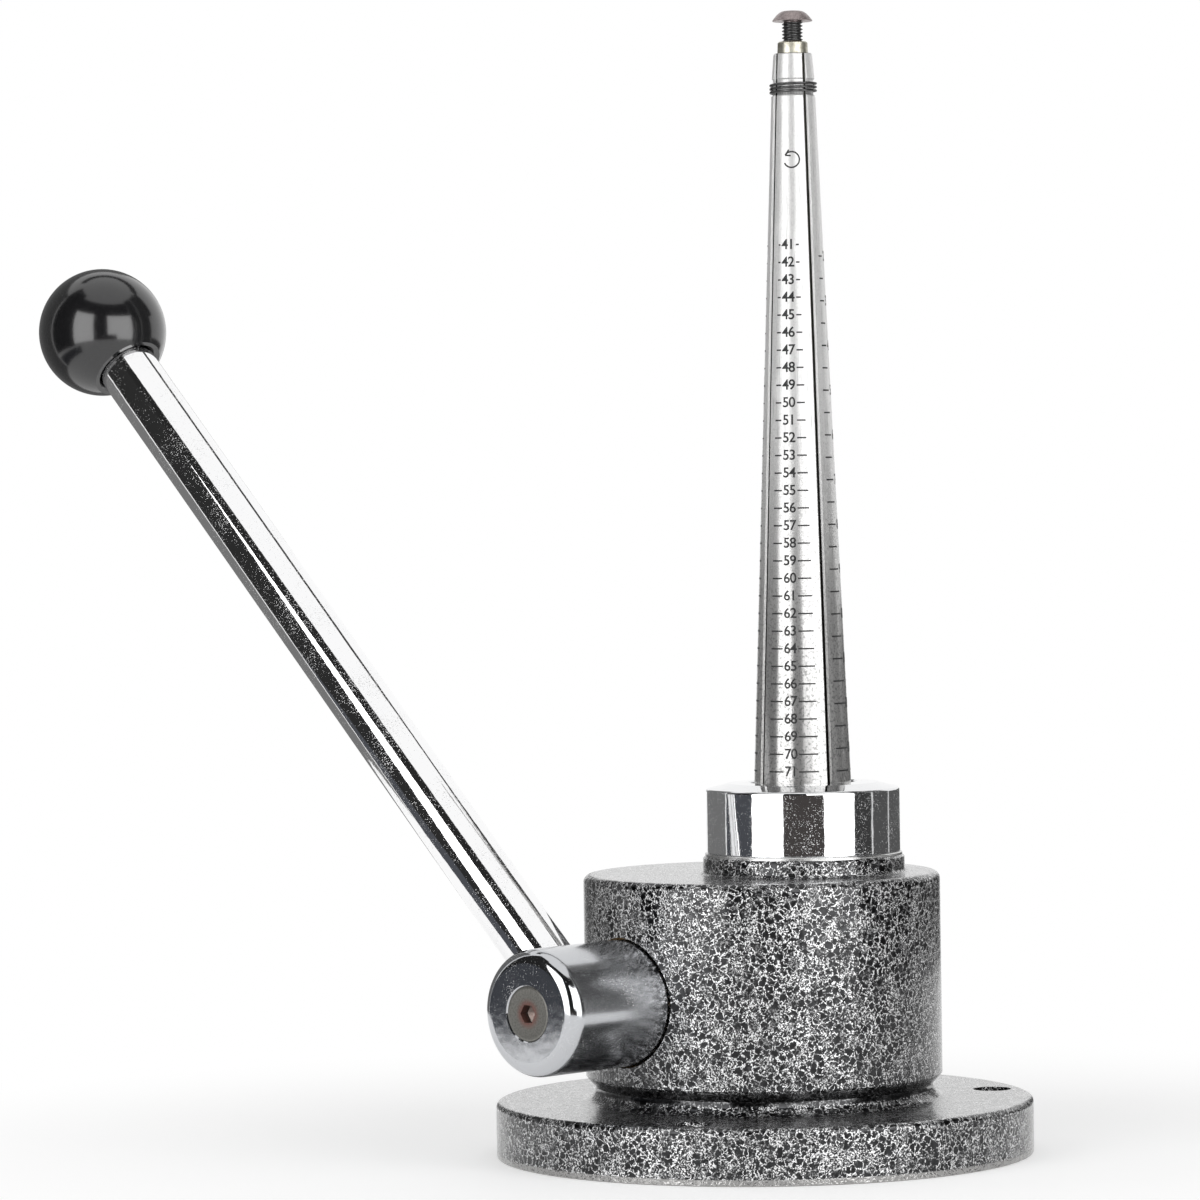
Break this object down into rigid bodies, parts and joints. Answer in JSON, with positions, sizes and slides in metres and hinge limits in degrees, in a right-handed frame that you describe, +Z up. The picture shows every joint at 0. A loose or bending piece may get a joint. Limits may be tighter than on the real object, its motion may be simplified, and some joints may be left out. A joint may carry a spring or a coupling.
{
  "type": "ring stretcher",
  "caption": "Bench ring stretcher: a split tapered mandrel on a round cast base, spread by a taper rod that a hand lever lifts.",
  "frame": {"origin": "centre of the base flange on the bench plane, which is also the centre of the bench bolts", "axes": "+Z up; X along the lever's cross shaft with the lever's hub at the -X end; the lever leans towards +Y at rest"},
  "size_m": [0.1363, 0.2448, 0.2685],
  "materials": {
    "hammered_paint": "grey hammered enamel on cast iron",
    "chrome_plate": "bright chrome plate",
    "ground_steel": "ground and polished steel",
    "bright_steel": "turned bright steel",
    "inner_steel": "turned steel, oiled",
    "rod_steel": "turned steel, nickel grey",
    "spring_wire": "dark drawn spring wire",
    "burnished_screw": "browned steel",
    "black_screw": "blackened steel",
    "bronze": "bearing bronze",
    "brass": "turned brass",
    "black_rubber": "black rubber",
    "black_phenolic": "glossy black moulded ball"
  },
  "bodies": {
    "base": {"base_casting": "hammered_paint", "shaft_bush": "bronze", "rod_guide_bush": "bronze", "seat_ring": "bright_steel", "collar": "chrome_plate", "guide_plate": "inner_steel", "foot_ring": "black_rubber", "retaining_wire": "spring_wire", "shaft_set_screw": "black_screw"},
    "lever": {"crank_shaft": "inner_steel", "crank_pin": "bright_steel", "roller_clip": "black_screw", "hub": "chrome_plate", "hub_screw": "burnished_screw", "lever_rod": "chrome_plate", "ball_knob": "black_phenolic", "knob_insert": "brass"},
    "roller": {"crank_roller": "bright_steel"},
    "rod": {"taper_rod": "rod_steel", "thrust_stud": "inner_steel", "top_screw": "burnished_screw"},
    "jaw_1": {"jaw_1": "ground_steel"},
    "jaw_2": {"jaw_2": "ground_steel"},
    "jaw_3": {"jaw_3": "ground_steel"},
    "jaw_4": {"jaw_4": "ground_steel"}
  },
  "joints": [
    {"name": "lever_turn", "type": "hinge", "parent": "base", "child": "lever", "pos_m": [0, 0.0072, 0.0382], "axis": [-1, 0, 0], "range_deg": [0, 50]},
    {"name": "rod_lift", "type": "slide", "parent": "base", "child": "rod", "axis": [0, 0, 1], "range_m": [0, 0.00761]},
    {"name": "roller_spin", "type": "hinge", "parent": "lever", "child": "roller", "pos_m": [0.0055, -0.00096, 0.0344], "axis": [1, 0, 0], "continuous": true},
    {"name": "jaw_1_spread", "type": "slide", "parent": "base", "child": "jaw_1", "axis": [0.8686, 0.4955, 0], "range_m": [0, 0.00026]},
    {"name": "jaw_2_spread", "type": "slide", "parent": "base", "child": "jaw_2", "axis": [-0.4955, 0.8686, 0], "range_m": [0, 0.00026]},
    {"name": "jaw_3_spread", "type": "slide", "parent": "base", "child": "jaw_3", "axis": [-0.8686, -0.4955, 0], "range_m": [0, 0.00026]},
    {"name": "jaw_4_spread", "type": "slide", "parent": "base", "child": "jaw_4", "axis": [0.4955, -0.8686, 0], "range_m": [0, 0.00026]}
  ],
  "couplings": [
    {"joint": "rod_lift", "follows": "lever_turn", "m_per_rad": 0.0087171},
    {"joint": "jaw_1_spread", "follows": "lever_turn", "m_per_rad": 0.00028918},
    {"joint": "jaw_2_spread", "follows": "lever_turn", "m_per_rad": 0.00028918},
    {"joint": "jaw_3_spread", "follows": "lever_turn", "m_per_rad": 0.00028918},
    {"joint": "jaw_4_spread", "follows": "lever_turn", "m_per_rad": 0.00028918}
  ]
}
